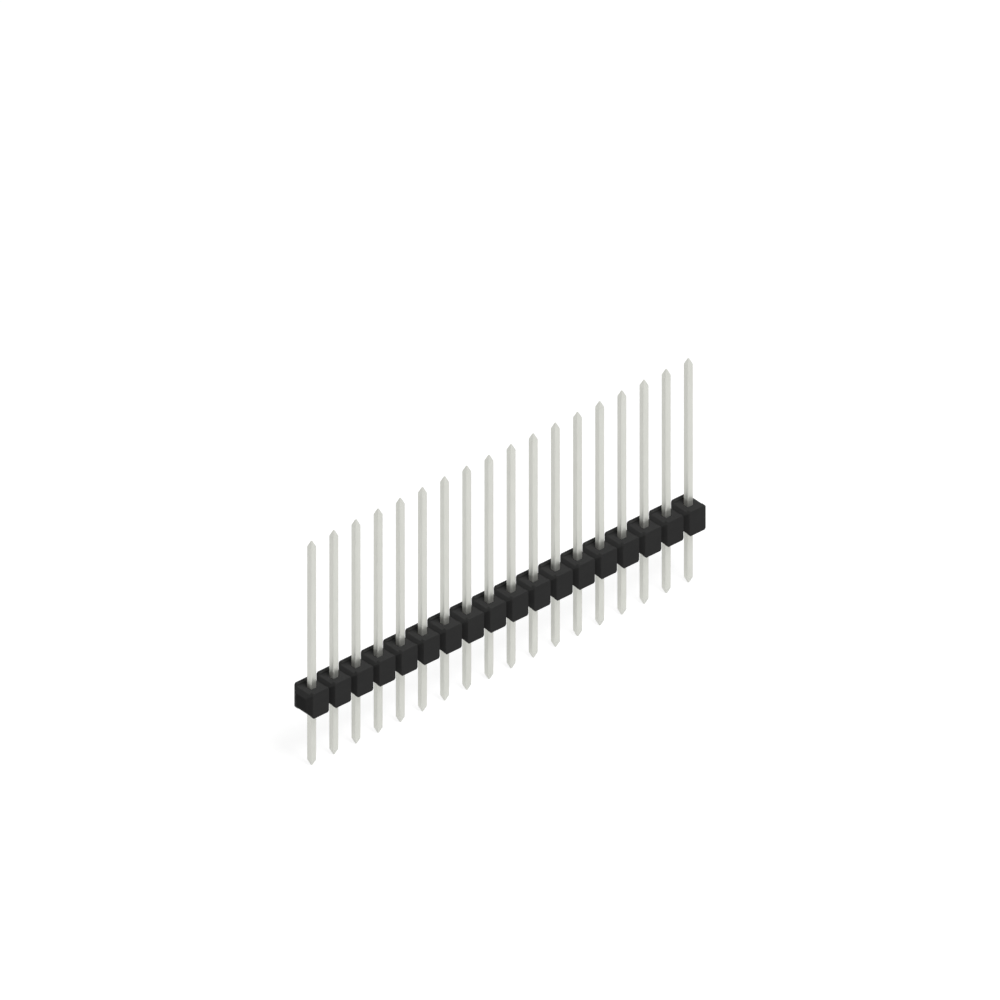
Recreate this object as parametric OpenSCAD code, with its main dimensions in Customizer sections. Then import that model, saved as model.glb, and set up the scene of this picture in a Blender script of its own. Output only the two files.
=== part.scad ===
// Single-row pin header strip: one moulded insulator carrying a row of square posts.
// Millimetres, +Z up. Z = 0 is the seating face, the row runs along X, and the origin is its centre.

/* [Row] */
// Number of posts in the row
pin_count = 18; // [2:1:40]
// Distance between neighbouring posts
pitch = 2.54; // [2.4:0.02:3.2]

/* [Insulator] */
// Depth of the moulding across the row
body_d = 2.5; // [2.2:0.02:3.2]
// Height of the moulding
body_h = 2.6; // [2.1:0.02:3.4]
// Width of the shallow channels along the top and the underside
channel_w = 1.7; // [1:0.02:1.9]
// Depth of each channel
channel_d = 0.19; // [0.05:0.02:0.35]

/* [Grooves] */
// Width of the vee grooves across the top and the underside, between two posts
groove_w = 0.92; // [0.4:0.02:1]
// Width of the vee grooves up both sides
side_groove_w = 0.7; // [0.4:0.02:0.9]
// Depth of every groove
groove_d = 0.64; // [0.2:0.02:0.7]

/* [Posts] */
// Side of the square post
pin_w = 0.64; // [0.5:0.02:0.76]
// Length of the post above the moulding
mate_len = 15.04; // [3:0.02:24]
// Length of the solder tail below the moulding
tail_len = 5.76; // [2.4:0.02:12]
// Length of the pointed tip
tip_len = 0.66; // [0.3:0.02:1.2]
// Side of the flat at the end of the tip
tip_flat = 0.1; // [0.06:0.02:0.2]
// Break of the long edges of a post
pin_break = 0.09; // [0.01:0.02:0.11]
// Gap left on each side between a post and its hole, nought for a pressed post
pin_gap = 0; // [0:0.005:0.02]

/* [Hidden] */
over = 0.1;
row_len = (pin_count - 1) * pitch;
body_len = pin_count * pitch;
hole_w = pin_w + 2 * pin_gap;
pin_top = body_h + mate_len;
pin_len = tail_len + pin_top;
resin = [0.07, 0.07, 0.075];
tin = [0.78, 0.77, 0.75];

function post_x(i) = (i - 1) * pitch - row_len / 2;
function post_name(i) = str("pin_", i < 10 ? "0" : "", i);

// The moulding before it is grooved: a bar with a channel along its top and another along its underside.
module bar() {
    difference() {
        translate([-body_len / 2, -body_d / 2, 0]) cube([body_len, body_d, body_h]);
        for (z = [0, body_h])
            translate([-body_len / 2 - over, -channel_w / 2, z - channel_d])
                cube([body_len + 2 * over, channel_w, 2 * channel_d]);
    }
}

// A vee with its mouth on the line y = 0, open upwards past that line.
module vee(w, d) {
    k = over * w / (2 * d);
    polygon([[-w / 2 - k, over], [0, -d], [w / 2 + k, over]]);
}

// The vee grooves right round the bar. At an end of the bar their halves bevel the end's four edges.
module break_groove() {
    translate([0, body_d, 0]) rotate([90, 0, 0]) linear_extrude(height = 2 * body_d) {
        translate([0, body_h]) vee(groove_w, groove_d);
        mirror([0, 1]) vee(groove_w, groove_d);
    }
    for (side = [0, 180])
        translate([0, 0, -over]) linear_extrude(height = body_h + 2 * over)
            rotate(side) translate([0, body_d / 2]) vee(side_groove_w, groove_d);
}

module insulator_body() {
    color(resin)
    difference() {
        bar();
        for (i = [0:pin_count]) translate([i * pitch - body_len / 2, 0, 0]) break_groove();
        for (i = [1:pin_count])
            translate([post_x(i) - hole_w / 2, -hole_w / 2, -over])
                cube([hole_w, hole_w, body_h + 2 * over]);
    }
}

// Section of a post: a square with its corners broken.
module post_plan() {
    w = pin_w / 2;
    c = w - pin_break;
    polygon([[-c, -w], [c, -w], [w, -c], [w, c], [c, w], [-c, w], [-w, c], [-w, -c]]);
}

// Outline of a post seen from the side, pointed at both ends.
module post_side() {
    w = pin_w / 2;
    f = tip_flat / 2;
    polygon([
        [-f, -tail_len], [f, -tail_len], [w, -tail_len + tip_len], [w, pin_top - tip_len],
        [f, pin_top], [-f, pin_top], [-w, pin_top - tip_len], [-w, -tail_len + tip_len]
    ]);
}

module post(i) {
    color(tin)
    translate([post_x(i), 0, 0])
    intersection() {
        translate([0, 0, -tail_len]) linear_extrude(height = pin_len) post_plan();
        translate([0, pin_w, 0]) rotate([90, 0, 0]) linear_extrude(height = 2 * pin_w) post_side();
        translate([-pin_w, 0, 0]) rotate([90, 0, 90]) linear_extrude(height = 2 * pin_w) post_side();
    }
}

insulator_body();
for (i = [1:pin_count]) post(i);
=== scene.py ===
"""A single-row pin header strip: a black break-away moulding that holds a row of tinned square posts.

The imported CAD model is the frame. The moulding and the posts are built again here with rounded
edges and finished surfaces, each in the place that its CAD node holds.
"""

import logging
import math
from dataclasses import dataclass, field
from enum import Enum
from typing import Any, Iterator, Sequence

import bpy
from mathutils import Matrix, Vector


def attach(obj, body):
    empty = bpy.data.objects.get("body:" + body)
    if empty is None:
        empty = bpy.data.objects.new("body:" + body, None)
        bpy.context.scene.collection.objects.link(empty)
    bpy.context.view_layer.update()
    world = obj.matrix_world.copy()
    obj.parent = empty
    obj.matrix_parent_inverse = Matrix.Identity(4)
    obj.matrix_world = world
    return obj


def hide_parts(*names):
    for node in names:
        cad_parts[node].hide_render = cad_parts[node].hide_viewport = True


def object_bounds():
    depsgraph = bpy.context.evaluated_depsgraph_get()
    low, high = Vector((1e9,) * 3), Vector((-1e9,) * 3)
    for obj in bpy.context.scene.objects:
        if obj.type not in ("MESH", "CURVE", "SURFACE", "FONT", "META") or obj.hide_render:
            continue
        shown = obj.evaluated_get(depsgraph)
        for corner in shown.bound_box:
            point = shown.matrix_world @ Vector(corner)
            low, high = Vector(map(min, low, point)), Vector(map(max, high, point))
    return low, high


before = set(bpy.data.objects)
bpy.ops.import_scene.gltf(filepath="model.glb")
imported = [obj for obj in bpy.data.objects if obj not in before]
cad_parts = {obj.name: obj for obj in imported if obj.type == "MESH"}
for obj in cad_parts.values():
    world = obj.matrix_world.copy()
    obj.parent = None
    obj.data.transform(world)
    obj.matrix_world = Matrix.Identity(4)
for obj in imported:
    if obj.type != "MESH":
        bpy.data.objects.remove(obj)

CAD_BOX: list[list[float]] = [list(corner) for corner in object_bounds()]
MM: float = 0.001
HALF: float = 0.5
DOUBLE: float = 2.0
# The width of a unit square across its corners, and the turn that stands it on one of them.
DIAGONAL: float = math.sqrt(2.0)
EIGHTH_TURN: float = math.radians(45.0)
# A block has an edge at each end, so this many along an axis leave it in one step.
ENDS: int = 2
# Corners of a cut shape that are closer than this are one corner.
MERGE_DISTANCE: float = 0.002 * MM
# Nearly all of a noise lies between these values.
NOISE_LOW: float = 0.3
NOISE_HIGH: float = 0.7
# The places of the two colours, and of the mixed one, on a Mix node that mixes colours.
COLOUR_INPUTS: tuple[int, int] = (6, 7)
COLOUR_OUTPUT: int = 2
log = logging.getLogger("pin_header")


class Slot(Enum):
    """The record's material slots."""

    RESIN = "resin"
    TIN = "tin"


class Axis(Enum):
    """The axis that a vee cutter's edge runs along."""

    ACROSS_ROW = (0.0, 1.0, 0.0)
    UPRIGHT = (0.0, 0.0, 1.0)


def grey(level: float) -> tuple[float, float, float, float]:
    """Returns an opaque neutral colour of the given level."""
    return (level, level, level, 1.0)


def stand(holder: bpy.types.Object, target: Vector, turn: float, rise: float, distance: float) -> None:
    """Places a lamp or the camera round the part, facing its target, and links it to the scene.

    Args:
        holder: the lamp's or the camera's object.
        target: the point that it faces.
        turn: its bearing in degrees, from straight in front towards the right.
        rise: its height in degrees above the target's level.
        distance: how far it stands from the target.
    """
    across, up = math.radians(turn), math.radians(rise)
    level = math.cos(up)
    way = Vector((math.sin(across) * level, -math.cos(across) * level, math.sin(up)))
    holder.location = target + way * distance
    holder.rotation_euler = way.to_track_quat("Z", "Y").to_euler()
    bpy.context.scene.collection.objects.link(holder)


class Graph:
    """A node tree under construction, with short calls for adding and joining nodes."""

    def __init__(self, tree: bpy.types.NodeTree) -> None:
        """Keeps the tree.

        Args:
            tree: the node tree that the nodes go into.
        """
        self.tree = tree

    def add(self, kind: str, inputs: dict[Any, Any] | None = None, **settings: Any) -> bpy.types.Node:
        """Adds one node.

        Args:
            kind: the node's Blender type name.
            inputs: what each input holds, by name or number: an output socket to join, or a value.
            **settings: the node's own properties.

        Returns:
            The new node.
        """
        node = self.tree.nodes.new(kind)
        for name, value in settings.items():
            setattr(node, name, value)
        for key, value in (inputs or {}).items():
            self.feed(node.inputs[key], value)
        return node

    def feed(self, socket: bpy.types.NodeSocket, value: Any) -> None:
        """Joins an output to an input, or several outputs to it, or sets its value.

        Args:
            socket: the input.
            value: an output socket, a list of output sockets, or a plain value.
        """
        if isinstance(value, bpy.types.NodeSocket):
            self.tree.links.new(value, socket)
        elif isinstance(value, list) and value and isinstance(value[0], bpy.types.NodeSocket):
            for output in value:
                self.tree.links.new(output, socket)
        else:
            socket.default_value = value

    def maths(self, operation: str, first: Any, second: Any = 0.0) -> bpy.types.NodeSocket:
        """Adds a Math node in a geometry or shader tree.

        Args:
            operation: the node's operation.
            first: the first input, a socket or a number.
            second: the second input, a socket or a number.

        Returns:
            The node's output.
        """
        return self.add("ShaderNodeMath", {0: first, 1: second}, operation=operation).outputs[0]

    def vector(self, x: Any = 0.0, y: Any = 0.0, z: Any = 0.0) -> bpy.types.NodeSocket:
        """Joins three numbers or sockets into a vector and returns its output."""
        return self.add("ShaderNodeCombineXYZ", {0: x, 1: y, 2: z}).outputs[0]


@dataclass(frozen=True)
class Rounding:
    """Small radii on a piece's sharp edges."""

    radius: float
    segments: int
    least_angle: float = math.radians(18.0)
    flat_angle: float = math.radians(0.5)

    def put_on(self, piece: bpy.types.Object) -> None:
        """Adds the modifiers that join coplanar faces and round the edges between the rest.

        Args:
            piece: the object to round.
        """
        flat = piece.modifiers.new("flat faces", "DECIMATE")
        flat.decimate_type = "DISSOLVE"
        flat.angle_limit = self.flat_angle
        bevel = piece.modifiers.new("rounding", "BEVEL")
        bevel.width = self.radius
        bevel.segments = self.segments
        bevel.limit_method = "ANGLE"
        bevel.angle_limit = self.least_angle
        bevel.use_clamp_overlap = True
        bevel.harden_normals = True
        bevel.miter_outer = "MITER_ARC"


class ShapeRecipe(Graph):
    """A Geometry Nodes tree with named inputs, which makes one plain mesh for an object."""

    def __init__(self, name: str) -> None:
        """Starts an empty tree with a geometry output.

        Args:
            name: the tree's name.
        """
        super().__init__(bpy.data.node_groups.new(name, "GeometryNodeTree"))
        self.tree.interface.new_socket(
            name="Geometry", in_out="OUTPUT", socket_type="NodeSocketGeometry"
        )
        self.entry = self.tree.nodes.new("NodeGroupInput")
        self.exit = self.tree.nodes.new("NodeGroupOutput")
        self.identifiers: dict[str, str] = {}

    def take(self, name: str, kind: str = "NodeSocketFloat") -> bpy.types.NodeSocket:
        """Adds a named input.

        Args:
            name: the input's name.
            kind: the type of socket.

        Returns:
            The socket inside the tree that carries the input's value.
        """
        item = self.tree.interface.new_socket(name=name, in_out="INPUT", socket_type=kind)
        self.identifiers[name] = item.identifier
        return self.entry.outputs[name]

    def cutter(self, axis: Axis, width: Any, drop: Any, length: Any, place: Any) -> bpy.types.NodeSocket:
        """Adds a bar of diamond section, whose inner half cuts a vee or breaks an edge.

        Args:
            axis: the way the bar runs.
            width: the diamond's width across its middle.
            drop: half the diamond's height.
            length: the bar's length.
            place: the middle of the bar.

        Returns:
            The bar's geometry.
        """
        across = self.maths("MULTIPLY", width, HALF * DIAGONAL)
        down = self.maths("MULTIPLY", drop, DIAGONAL)
        scale = {
            Axis.ACROSS_ROW: (across, length, down),
            Axis.UPRIGHT: (across, down, length),
        }[axis]
        turn = tuple(EIGHTH_TURN * share for share in axis.value)
        block = self.add("GeometryNodeMeshCube", {"Size": (1.0, 1.0, 1.0)}).outputs[0]
        turned = self.add("GeometryNodeTransform", {"Geometry": block, "Rotation": turn}).outputs[0]
        placed = {"Geometry": turned, "Translation": place, "Scale": self.vector(*scale)}
        return self.add("GeometryNodeTransform", placed).outputs[0]

    def block(self, size: Any, middle: Any, edges: Any = ENDS) -> bpy.types.NodeSocket:
        """Adds a plain block.

        Args:
            size: its three lengths.
            middle: its middle.
            edges: how many edges cross its faces along X, with those at both ends.

        Returns:
            The block's geometry.
        """
        block = self.add("GeometryNodeMeshCube", {"Size": size, "Vertices X": edges}).outputs[0]
        return self.add("GeometryNodeTransform", {"Geometry": block, "Translation": middle}).outputs[0]

    def row(
        self, cutters: list[bpy.types.NodeSocket], count: Any, start: Any, step: Any
    ) -> bpy.types.NodeSocket:
        """Repeats a group of cutters along X.

        Args:
            cutters: the cutters of one station.
            count: how many stations there are.
            start: the X of the first station.
            step: the distance between two stations.

        Returns:
            The repeated cutters as instances.
        """
        line = {"Count": count, "Start Location": self.vector(start), "Offset": self.vector(step)}
        stations = self.add("GeometryNodeMeshLine", line, mode="OFFSET", count_mode="TOTAL").outputs[0]
        station = self.add("GeometryNodeJoinGeometry", {0: cutters}).outputs[0]
        copies = {"Points": stations, "Instance": station}
        return self.add("GeometryNodeInstanceOnPoints", copies).outputs[0]

    def join(self, parts: list[bpy.types.NodeSocket]) -> bpy.types.NodeSocket:
        """Joins several geometries and returns the result, with its instances made real."""
        joined = self.add("GeometryNodeJoinGeometry", {0: parts}).outputs[0]
        return self.add("GeometryNodeRealizeInstances", {0: joined}).outputs[0]

    def cut(
        self, body: bpy.types.NodeSocket, cutters: list[bpy.types.NodeSocket]
    ) -> bpy.types.NodeSocket:
        """Takes cutters out of a body.

        Args:
            body: the geometry that is cut.
            cutters: what is taken out of it.

        Returns:
            What is left.
        """
        meshes = {"Mesh 1": body, "Mesh 2": self.join(cutters), "Self Intersection": True}
        rest = self.add("GeometryNodeMeshBoolean", meshes, operation="DIFFERENCE", solver="EXACT")
        corners = {"Geometry": rest.outputs[0], "Distance": MERGE_DISTANCE}
        return self.add("GeometryNodeMergeByDistance", corners).outputs[0]

    def choose(self, level: bpy.types.NodeSocket, values: Sequence[Any]) -> bpy.types.NodeSocket:
        """Adds an Index Switch that picks one value for each level of a shape.

        Args:
            level: the level's number, counted from nought.
            values: one socket or number for each level.

        Returns:
            The picked value.
        """
        switch = self.add("GeometryNodeIndexSwitch", data_type="FLOAT")
        while len(switch.index_switch_items) < len(values):
            switch.index_switch_items.new()
        self.feed(switch.inputs[0], level)
        for number, value in enumerate(values, start=1):
            self.feed(switch.inputs[number], value)
        return switch.outputs[0]

    def end(self, geometry: bpy.types.NodeSocket, finish: bpy.types.NodeSocket) -> None:
        """Closes the tree with Realize Instances and Set Material.

        Args:
            geometry: the finished geometry.
            finish: the material input.
        """
        shading = {"Geometry": geometry, "Shade Smooth": True}
        smooth = self.add("GeometryNodeSetShadeSmooth", shading).outputs[0]
        real = self.add("GeometryNodeRealizeInstances", {0: smooth}).outputs[0]
        dressed = self.add("GeometryNodeSetMaterial", {"Geometry": real, "Material": finish})
        self.feed(self.exit.inputs[0], dressed.outputs[0])

    def make(self, name: str, values: dict[str, Any], rounding: Rounding) -> bpy.types.Object:
        """Runs the tree and turns the result into a plain mesh object.

        Args:
            name: the new object's name.
            values: what each named input holds.
            rounding: how the edges are rounded afterwards.

        Returns:
            The object, at the origin, with no modifier left on it.
        """
        maker = bpy.data.objects.new(name + "_maker", bpy.data.meshes.new(name + "_maker"))
        bpy.context.scene.collection.objects.link(maker)
        modifier = maker.modifiers.new("recipe", "NODES")
        modifier.node_group = self.tree
        for key, value in values.items():
            modifier[self.identifiers[key]] = value
        rounding.put_on(maker)
        evaluated = maker.evaluated_get(bpy.context.evaluated_depsgraph_get())
        mesh = bpy.data.meshes.new_from_object(evaluated)
        mesh.name = name
        bpy.data.objects.remove(maker)
        piece = bpy.data.objects.new(name, mesh)
        bpy.context.scene.collection.objects.link(piece)
        return piece


@dataclass(frozen=True)
class Grain:
    """One fine pattern of a finish, with its lengths in millimetres.

    A blotch has the given length along X, Y and Z. Detail is how many finer layers the pattern has,
    and the seed is an offset that makes it unlike the others. Depth and strength are for its relief.
    """

    length: tuple[float, float, float]
    detail: float
    seed: float = 0.0
    depth: float = 0.0
    strength: float = 0.0


class Finish:
    """A procedural material under construction, whose patterns sit on the piece's own coordinates."""

    def __init__(self, name: str) -> None:
        """Makes the material with a lone Principled shader.

        Args:
            name: the material's name.
        """
        self.material = bpy.data.materials.new(name)
        self.material.use_nodes = True
        self.graph = Graph(self.material.node_tree)
        self.shader = self.material.node_tree.nodes["Principled BSDF"]
        self.place = self.graph.add("ShaderNodeTexCoord").outputs["Object"]

    def cloud(self, grain: Grain) -> bpy.types.NodeSocket:
        """Adds a noise whose blotches can be longer one way than another.

        Args:
            grain: the pattern's sizes.

        Returns:
            The noise, from 0 to 1.
        """
        scale = tuple(1.0 / (length * MM) for length in grain.length)
        shift = (grain.seed, grain.seed, grain.seed)
        stretch = {"Vector": self.place, "Scale": scale, "Location": shift}
        held = self.graph.add("ShaderNodeMapping", stretch).outputs[0]
        noise = {"Vector": held, "Scale": 1.0, "Detail": grain.detail}
        return self.graph.add("ShaderNodeTexNoise", noise).outputs["Fac"]

    def spread(self, value: bpy.types.NodeSocket, low: float, high: float) -> bpy.types.NodeSocket:
        """Stretches the middle of a noise over a range.

        Args:
            value: the noise.
            low: the result where the noise is low.
            high: the result where it is high.

        Returns:
            The stretched value.
        """
        span = {"From Min": NOISE_LOW, "From Max": NOISE_HIGH, "To Min": low, "To Max": high}
        return self.graph.add("ShaderNodeMapRange", {"Value": value, **span}, clamp=True).outputs[0]

    def tint(self, noise: bpy.types.NodeSocket, dark: Sequence[float], light: Sequence[float]) -> None:
        """Colours the surface between two close tints.

        Args:
            noise: the pattern that they follow.
            dark: the tint where it is low.
            light: the tint where it is high.
        """
        mix = self.graph.add("ShaderNodeMix", {0: self.spread(noise, 0.0, 1.0)}, data_type="RGBA")
        for number, colour in zip(COLOUR_INPUTS, (dark, light)):
            mix.inputs[number].default_value = (*colour, 1.0)
        self.graph.feed(self.shader.inputs["Base Color"], mix.outputs[COLOUR_OUTPUT])

    def polish(self, noise: bpy.types.NodeSocket, low: float, high: float) -> None:
        """Varies the roughness between two values.

        Args:
            noise: the pattern that it follows.
            low: the roughness where the pattern is low.
            high: the roughness where it is high.
        """
        self.graph.feed(self.shader.inputs["Roughness"], self.spread(noise, low, high))

    def relief(self, layers: Sequence[tuple[bpy.types.NodeSocket, Grain]]) -> None:
        """Gives the surface its fine relief.

        Args:
            layers: each layer's pattern with its sizes, from the lowest up.
        """
        normal: bpy.types.NodeSocket | None = None
        for pattern, grain in layers:
            shape = {"Height": pattern, "Distance": grain.depth * MM, "Strength": grain.strength}
            bump = self.graph.add("ShaderNodeBump", shape)
            if normal is not None:
                self.graph.feed(bump.inputs["Normal"], normal)
            normal = bump.outputs[0]
        if normal is not None:
            self.graph.feed(self.shader.inputs["Normal"], normal)


@dataclass(frozen=True)
class MouldedResin:
    """Black glass-filled resin with the fine spark-eroded texture of its mould."""

    dark: tuple[float, float, float] = (0.0470, 0.0470, 0.0470)
    light: tuple[float, float, float] = (0.0520, 0.0520, 0.0516)
    sheen_low: float = 0.46
    sheen_high: float = 0.60
    specular: float = 0.01
    flow: Grain = Grain((2.6, 1.4, 0.9), detail=2.0)
    texture: Grain = Grain((0.05, 0.05, 0.05), detail=2.0, seed=3.0, depth=0.004, strength=0.35)
    fibre: Grain = Grain((0.34, 0.07, 0.07), detail=1.0, seed=9.0, depth=0.002, strength=0.25)

    def build(self) -> bpy.types.Material:
        """Makes the material.

        Returns:
            The finished material.
        """
        finish = Finish("moulded_resin")
        flow = finish.cloud(self.flow)
        finish.tint(flow, self.dark, self.light)
        finish.polish(flow, self.sheen_low, self.sheen_high)
        finish.shader.inputs["Specular IOR Level"].default_value = self.specular
        finish.relief([(finish.cloud(layer), layer) for layer in (self.fibre, self.texture)])
        return finish.material


@dataclass(frozen=True)
class TinPlate:
    """Satin tin over drawn wire, with faint streaks along the post."""

    dark: tuple[float, float, float] = (0.704, 0.710, 0.660)
    light: tuple[float, float, float] = (0.732, 0.738, 0.688)
    polish_low: float = 0.34
    polish_high: float = 0.42
    metal: float = 0.68
    streak: Grain = Grain((0.05, 0.05, 2.4), detail=3.0, depth=0.003, strength=0.12)
    plating: Grain = Grain((0.5, 0.5, 1.6), detail=2.0, seed=5.0)
    crystal: Grain = Grain((0.03, 0.03, 0.06), detail=2.0, seed=11.0, depth=0.002, strength=0.12)

    def build(self) -> bpy.types.Material:
        """Makes the material.

        Returns:
            The finished material.
        """
        finish = Finish("tin_plate")
        streak = finish.cloud(self.streak)
        finish.tint(finish.cloud(self.plating), self.dark, self.light)
        finish.polish(streak, self.polish_low, self.polish_high)
        finish.shader.inputs["Metallic"].default_value = self.metal
        finish.relief([(streak, self.streak), (finish.cloud(self.crystal), self.crystal)])
        return finish.material


@dataclass(frozen=True)
class Strip:
    """The sizes in metres that the moulding and the posts share."""

    posts: int = 18
    pitch: float = 2.54 * MM
    post_side: float = 0.64 * MM
    body_height: float = 2.6 * MM


@dataclass
class Moulding:
    """The insulator: a bar channelled along its top and underside, with vee grooves between the posts.

    All sizes are in metres and are those of the CAD node, and the rounding is added to them. Each
    hole is as wide as its post. Cutters are the overrun times as long as what they cut, and the
    channels run the spare number of pitches longer than the row.
    """

    strip: Strip
    finish: bpy.types.Material
    depth: float = 2.5 * MM
    channel_width: float = 1.7 * MM
    channel_depth: float = 0.19 * MM
    groove_width: float = 0.92 * MM
    side_groove_width: float = 0.7 * MM
    groove_depth: float = 0.64 * MM
    rounding: Rounding = Rounding(radius=0.05 * MM, segments=3)
    overrun: float = 2.0
    spare: float = 2.0

    def recipe(self) -> ShapeRecipe:
        """Builds the tree: one bar, less its channels and every groove and hole.

        Returns:
            The finished tree.
        """
        shape = ShapeRecipe("moulding_recipe")
        count = shape.take("Posts", "NodeSocketInt")
        names = ("Pitch", "Depth", "Height", "Hole Side")
        pitch, depth, height, hole = (shape.take(name) for name in names)
        names = ("Channel Width", "Channel Depth", "Groove Width", "Side Groove Width", "Groove Depth")
        channel_w, channel_d, groove_w, side_w, groove_d = (shape.take(name) for name in names)
        finish = shape.take("Finish", "NodeSocketMaterial")
        length = shape.maths("MULTIPLY", count, pitch)
        middle = shape.maths("MULTIPLY", height, HALF)
        side = shape.maths("MULTIPLY", depth, HALF)
        far_side = shape.maths("MULTIPLY", depth, -HALF)
        deep = shape.maths("MULTIPLY", depth, self.overrun)
        tall = shape.maths("MULTIPLY", height, self.overrun)
        grooves = [
            shape.cutter(Axis.ACROSS_ROW, groove_w, groove_d, deep, shape.vector(z=height)),
            shape.cutter(Axis.ACROSS_ROW, groove_w, groove_d, deep, shape.vector()),
            shape.cutter(Axis.UPRIGHT, side_w, groove_d, tall, shape.vector(y=side, z=middle)),
            shape.cutter(Axis.UPRIGHT, side_w, groove_d, tall, shape.vector(y=far_side, z=middle)),
        ]
        shaft = shape.block(shape.vector(hole, hole, tall), shape.vector(z=middle))
        # The channel's slab has an edge at every half pitch, and so at every post. No seam of its faces
        # runs close past a hole's corner.
        half_pitch = shape.maths("MULTIPLY", pitch, HALF)
        steps = shape.maths("MULTIPLY", shape.maths("ADD", count, self.spare), DOUBLE)
        reach = shape.maths("MULTIPLY", steps, half_pitch)
        slab = shape.vector(reach, channel_w, shape.maths("ADD", channel_d, channel_d))
        edges = shape.maths("ADD", steps, 1.0)
        begin = shape.maths("MULTIPLY", length, -HALF)
        first_post = shape.maths("ADD", begin, half_pitch)
        cuts = [
            shape.row(grooves, shape.maths("ADD", count, 1.0), begin, pitch),
            shape.row([shaft], count, first_post, pitch),
            shape.block(slab, shape.vector(z=height), edges),
            shape.block(slab, shape.vector(), edges),
        ]
        bar = shape.block(shape.vector(length, depth, height), shape.vector(z=middle))
        shape.end(shape.cut(bar, cuts), finish)
        return shape

    def build(self) -> bpy.types.Object:
        """Makes the moulding in place of its CAD node.

        Returns:
            The finished piece.
        """
        values = {
            "Posts": self.strip.posts,
            "Pitch": self.strip.pitch,
            "Depth": self.depth,
            "Height": self.strip.body_height,
            "Channel Width": self.channel_width,
            "Channel Depth": self.channel_depth,
            "Groove Width": self.groove_width,
            "Side Groove Width": self.side_groove_width,
            "Groove Depth": self.groove_depth,
            "Hole Side": self.strip.post_side,
            "Finish": self.finish,
        }
        piece = self.recipe().make("moulding", values, self.rounding)
        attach(piece, "root")
        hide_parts("insulator_body")
        return piece


@dataclass
class Posts:
    """The row of square posts, each pointed at both ends.

    All sizes are in metres and are those of the CAD nodes, and the rounding is added to them.
    """

    strip: Strip
    finish: bpy.types.Material
    edge_break: float = 0.09 * MM
    tip_length: float = 0.66 * MM
    tip_flat: float = 0.1 * MM
    tail_length: float = 5.76 * MM
    mating_length: float = 15.04 * MM
    rounding: Rounding = Rounding(radius=0.018 * MM, segments=2)

    def recipe(self) -> ShapeRecipe:
        """Builds the tree for one post.

        The bar has four levels and is drawn in at both ends. Its long edges are broken afterwards.

        Returns:
            The finished tree.
        """
        shape = ShapeRecipe("post_recipe")
        names = ("Place", "Side", "Edge Break", "Tip Length", "Tip Flat", "Tail", "Top")
        place, side, edge, tip, flat, tail, top = (shape.take(name) for name in names)
        finish = shape.take("Finish", "NodeSocketMaterial")
        low = shape.maths("MULTIPLY", tail, -1.0)
        heights = (low, shape.maths("ADD", low, tip), shape.maths("SUBTRACT", top, tip), top)
        levels = len(heights)
        span = float(levels - 1)
        steps = {"Vertices X": ENDS, "Vertices Y": ENDS, "Vertices Z": levels}
        bar = shape.add("GeometryNodeMeshCube", {"Size": shape.vector(side, side, span), **steps})
        spot = shape.add("GeometryNodeInputPosition").outputs[0]
        corner = shape.add("ShaderNodeSeparateXYZ", {0: spot}).outputs
        level = shape.maths("ROUND", shape.maths("ADD", corner[2], span * HALF))
        height = shape.choose(level, heights)
        taper = shape.maths("DIVIDE", flat, side)
        width = shape.choose(level, (taper, 1.0, 1.0, taper))
        x = shape.maths("ADD", shape.maths("MULTIPLY", corner[0], width), place)
        y = shape.maths("MULTIPLY", corner[1], width)
        drawn = {"Geometry": bar.outputs[0], "Position": shape.vector(x, y, height)}
        blank = shape.add("GeometryNodeSetPosition", drawn).outputs[0]
        reach = shape.maths("MULTIPLY", side, HALF)
        length = shape.maths("MULTIPLY", shape.maths("ADD", tail, top), DOUBLE)
        wide = shape.maths("MULTIPLY", edge, DOUBLE)
        cutters = []
        for x_way in (-1.0, 1.0):
            for y_way in (-1.0, 1.0):
                x = shape.maths("ADD", shape.maths("MULTIPLY", reach, x_way), place)
                corner_line = shape.vector(x, shape.maths("MULTIPLY", reach, y_way))
                cutters.append(shape.cutter(Axis.UPRIGHT, wide, edge, length, corner_line))
        shape.end(shape.cut(blank, cutters), finish)
        return shape

    def build(self) -> Iterator[bpy.types.Object]:
        """Makes each post in place of its CAD node.

        Yields:
            The finished posts, from -X to +X.
        """
        recipe = self.recipe()
        values = {
            "Side": self.strip.post_side,
            "Edge Break": self.edge_break,
            "Tip Length": self.tip_length,
            "Tip Flat": self.tip_flat,
            "Tail": self.tail_length,
            "Top": self.strip.body_height + self.mating_length,
            "Finish": self.finish,
        }
        for number in range(self.strip.posts):
            values["Place"] = (number - (self.strip.posts - 1) * HALF) * self.strip.pitch
            name = f"{number + 1:02d}"
            piece = recipe.make(f"post_{name}", values, self.rounding)
            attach(piece, "root")
            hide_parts(f"pin_{name}")
            yield piece


@dataclass(frozen=True)
class Lamp:
    """A softbox: its bearing and height in degrees as seen from the part, its power and its size."""

    name: str
    turn: float
    rise: float
    power: float
    size: float = 0.16
    distance: float = 0.30

    def light(self, middle: Vector) -> bpy.types.Object:
        """Adds the lamp, turned towards the part.

        Args:
            middle: the point that it lights.

        Returns:
            The lamp's object.
        """
        lamp = bpy.data.lights.new(self.name, "AREA")
        lamp.shape = "DISK"
        lamp.size = self.size
        lamp.energy = self.power
        holder = bpy.data.objects.new(self.name, lamp)
        holder.visible_glossy = False
        stand(holder, middle, self.turn, self.rise, self.distance)
        return holder


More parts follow.
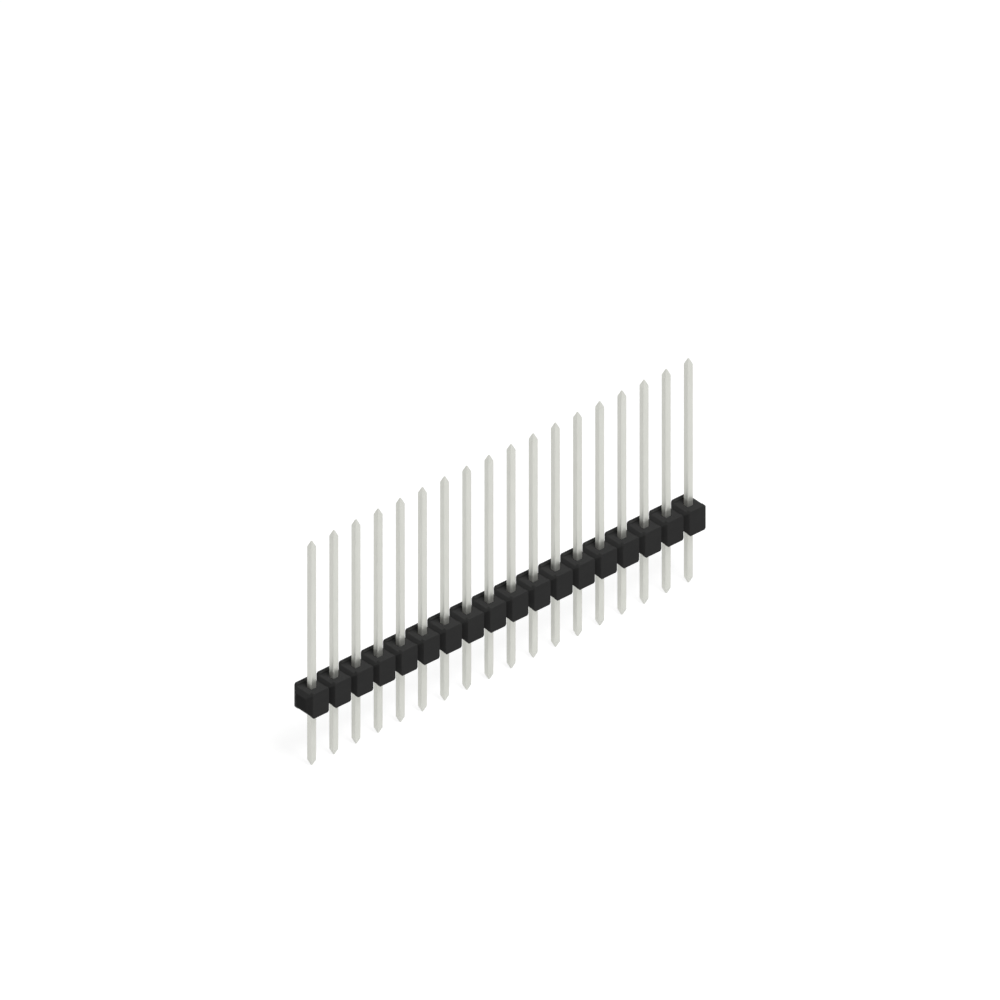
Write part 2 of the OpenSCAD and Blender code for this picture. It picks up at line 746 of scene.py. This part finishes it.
@dataclass
class Studio:
    """A pale floor, soft light and a parallel view from above and to the left.

    Lengths are in metres and angles in degrees. The lowest and highest corners are those of the CAD
    model. The floor's matt grey throws light up at the part. Its veil is the grey that is seen and
    takes the part's shadow, and its glow lifts that grey to white.
    """

    lowest: Vector = field(default_factory=lambda: Vector(CAD_BOX[0]))
    highest: Vector = field(default_factory=lambda: Vector(CAD_BOX[1]))
    aim: Vector = field(default_factory=lambda: Vector((0.0, 0.0, 12.37 * MM)))
    turn: float = -40.92
    rise: float = 34.0
    view_width: float = 86.62 * MM
    view_distance: float = 0.5
    view_start: float = 1.0 * MM
    view_end: float = 4.0
    floor_size: float = 3.0
    floor_gap: float = 0.02 * MM
    floor_matt: float = 0.40
    floor_veil: float = 0.35
    floor_glow: float = 0.86
    ambient: float = 0.21
    backdrop: float = 1.0
    lamps: tuple[Lamp, ...] = (Lamp("key_softbox", turn=-3.0, rise=60.0, power=0.60),)

    def camera(self) -> bpy.types.Object:
        """Adds the camera.

        Returns:
            The camera's object.
        """
        lens = bpy.data.cameras.new("view")
        lens.type = "ORTHO"
        lens.ortho_scale = self.view_width
        lens.clip_start = self.view_start
        lens.clip_end = self.view_end
        camera = bpy.data.objects.new("view", lens)
        stand(camera, self.aim, self.turn, self.rise, self.view_distance)
        bpy.context.scene.camera = camera
        return camera

    def sees_white(self, graph: Graph) -> bpy.types.NodeSocket:
        """Adds the test for rays that see the backdrop: from the camera, and off or through a surface.

        Args:
            graph: the tree that it goes into.

        Returns:
            One for those rays, nought for the rest.
        """
        rays = graph.add("ShaderNodeLightPath").outputs
        seen = graph.maths("MAXIMUM", rays["Is Camera Ray"], rays["Is Glossy Ray"])
        return graph.maths("MAXIMUM", seen, rays["Is Transmission Ray"])

    def mix(
        self, graph: Graph, lighting: bpy.types.NodeSocket, shown: bpy.types.NodeSocket
    ) -> bpy.types.NodeSocket:
        """Adds a mix of what lights the part and what is seen behind it.

        Args:
            graph: the tree that it goes into.
            lighting: the shader that the part is lit by.
            shown: the shader that the camera and reflections see.

        Returns:
            The mixed shader.
        """
        shaders = {0: self.sees_white(graph), 1: lighting, 2: shown}
        return graph.add("ShaderNodeMixShader", shaders).outputs[0]

    def world(self) -> None:
        """Sets a plain ambient light that shows as a white backdrop."""
        world = bpy.data.worlds.new("studio")
        world.use_nodes = True
        bpy.context.scene.world = world
        nodes = world.node_tree.nodes
        graph = Graph(world.node_tree)
        ambient = nodes["Background"]
        ambient.inputs["Color"].default_value = grey(1.0)
        ambient.inputs["Strength"].default_value = self.ambient
        white = graph.add("ShaderNodeBackground", {"Color": grey(1.0), "Strength": self.backdrop})
        mixed = self.mix(graph, ambient.outputs[0], white.outputs[0])
        graph.feed(nodes["World Output"].inputs["Surface"], mixed)

    def floor_finish(self) -> bpy.types.Material:
        """Makes the floor's pale material.

        Returns:
            The finished material.
        """
        pale = bpy.data.materials.new("pale_floor")
        pale.use_nodes = True
        nodes = pale.node_tree.nodes
        nodes.remove(nodes["Principled BSDF"])
        graph = Graph(pale.node_tree)
        matt = graph.add("ShaderNodeBsdfDiffuse", {"Color": grey(self.floor_matt)})
        veil = graph.add("ShaderNodeBsdfDiffuse", {"Color": grey(self.floor_veil)})
        glow = graph.add("ShaderNodeEmission", {"Color": grey(1.0), "Strength": self.floor_glow})
        shown = graph.add("ShaderNodeAddShader", {0: veil.outputs[0], 1: glow.outputs[0]})
        mixed = self.mix(graph, matt.outputs[0], shown.outputs[0])
        graph.feed(nodes["Material Output"].inputs["Surface"], mixed)
        return pale

    def floor(self) -> bpy.types.Object:
        """Adds a pale floor just under the tails, which keeps a faint shadow.

        Returns:
            The floor.
        """
        mesh = bpy.data.meshes.new("floor")
        reach = self.floor_size * HALF
        level = self.lowest.z - self.floor_gap
        corners = [(-reach, -reach), (reach, -reach), (reach, reach), (-reach, reach)]
        mesh.from_pydata([(x, y, level) for x, y in corners], [], [(0, 1, 2, 3)])
        mesh.materials.append(self.floor_finish())
        floor = bpy.data.objects.new("floor", mesh)
        bpy.context.scene.collection.objects.link(floor)
        return floor

    def build(self) -> None:
        """Sets up the view, the light and the floor."""
        self.camera()
        self.world()
        self.floor()
        middle = (self.lowest + self.highest) * HALF
        for lamp in self.lamps:
            lamp.light(middle)
        bpy.context.scene.view_settings.view_transform = "Standard"


def report(piece: bpy.types.Object) -> None:
    """Logs a finished piece's name and size."""
    size = ", ".join(f"{length / MM:.2f}" for length in piece.dimensions)
    log.info("%s: %s mm, %d faces", piece.name, size, len(piece.data.polygons))


def main() -> None:
    """Builds the studio and every piece, in order."""
    logging.basicConfig(level=logging.INFO, format="%(name)s: %(message)s")
    Studio().build()
    strip = Strip()
    report(Moulding(strip, MouldedResin().build()).build())
    for post in Posts(strip, TinPlate().build()).build():
        report(post)
    bpy.context.view_layer.update()


if __name__ == "__main__":
    main()
